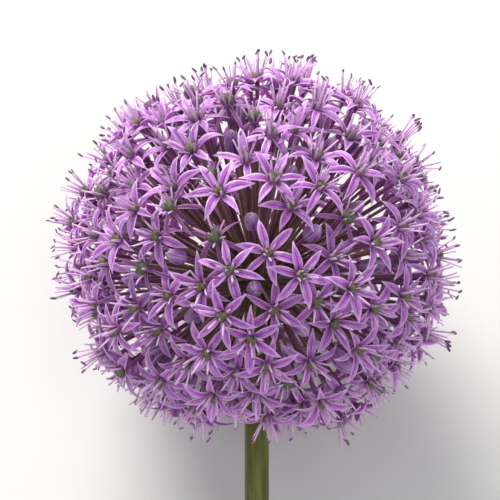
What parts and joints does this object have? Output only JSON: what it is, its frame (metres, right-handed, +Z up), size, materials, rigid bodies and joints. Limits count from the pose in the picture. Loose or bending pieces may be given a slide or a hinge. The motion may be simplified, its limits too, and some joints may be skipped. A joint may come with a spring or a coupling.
{
  "type": "allium flower head",
  "caption": "Round purple umbel of starry flowers on thin pedicels, picked with a length of green scape and lying on its side.",
  "frame": {"origin": "middle of the bounding box's underside, on the surface that the flower head lies on", "axes": "+Y along the surface from the cut end of the scape towards the umbel, +Z up"},
  "size_m": [0.11, 0.162, 0.1087],
  "materials": {
    "tepal": "satin",
    "bud": "satin",
    "filament": "satin",
    "anther": "matte",
    "ovary": "satin",
    "pedicel": "satin",
    "scape": "satin"
  },
  "bodies": {
    "root": {"scape": "scape", "flower_cyme_01": "tepal", "flower_cyme_02": "tepal", "flower_cyme_03": "tepal", "flower_cyme_04": "tepal", "flower_cyme_05": "tepal", "flower_cyme_06": "tepal", "flower_cyme_07": "tepal", "flower_cyme_08": "tepal", "flower_cyme_09": "tepal", "flower_cyme_10": "tepal", "flower_cyme_11": "tepal", "flower_cyme_12": "tepal", "flower_cyme_13": "tepal", "flower_cyme_14": "tepal", "flower_cyme_15": "tepal", "flower_cyme_16": "tepal", "flower_cyme_17": "tepal", "flower_cyme_18": "tepal", "flower_cyme_19": "tepal", "flower_cyme_20": "tepal", "flower_cyme_21": "tepal", "flower_cyme_22": "tepal", "flower_cyme_23": "tepal", "flower_cyme_24": "tepal", "flower_cyme_25": "tepal", "flower_cyme_26": "tepal", "flower_cyme_27": "tepal", "flower_cyme_28": "tepal", "flower_cyme_29": "tepal", "flower_cyme_30": "tepal", "flower_cyme_31": "tepal", "flower_cyme_32": "tepal", "flower_cyme_33": "tepal", "flower_cyme_34": "tepal", "flower_cyme_35": "tepal", "flower_cyme_36": "tepal", "flower_cyme_37": "tepal", "flower_cyme_38": "tepal", "flower_cyme_39": "tepal", "flower_cyme_40": "tepal", "flower_cyme_41": "tepal", "flower_cyme_42": "tepal", "flower_cyme_43": "tepal", "flower_cyme_44": "tepal", "flower_cyme_45": "tepal", "flower_cyme_46": "tepal", "flower_cyme_47": "tepal", "flower_cyme_48": "tepal", "flower_cyme_49": "tepal", "flower_cyme_50": "tepal", "flower_cyme_51": "tepal", "flower_cyme_52": "tepal", "flower_cyme_53": "tepal", "flower_cyme_54": "tepal"}
  },
  "joints": []
}
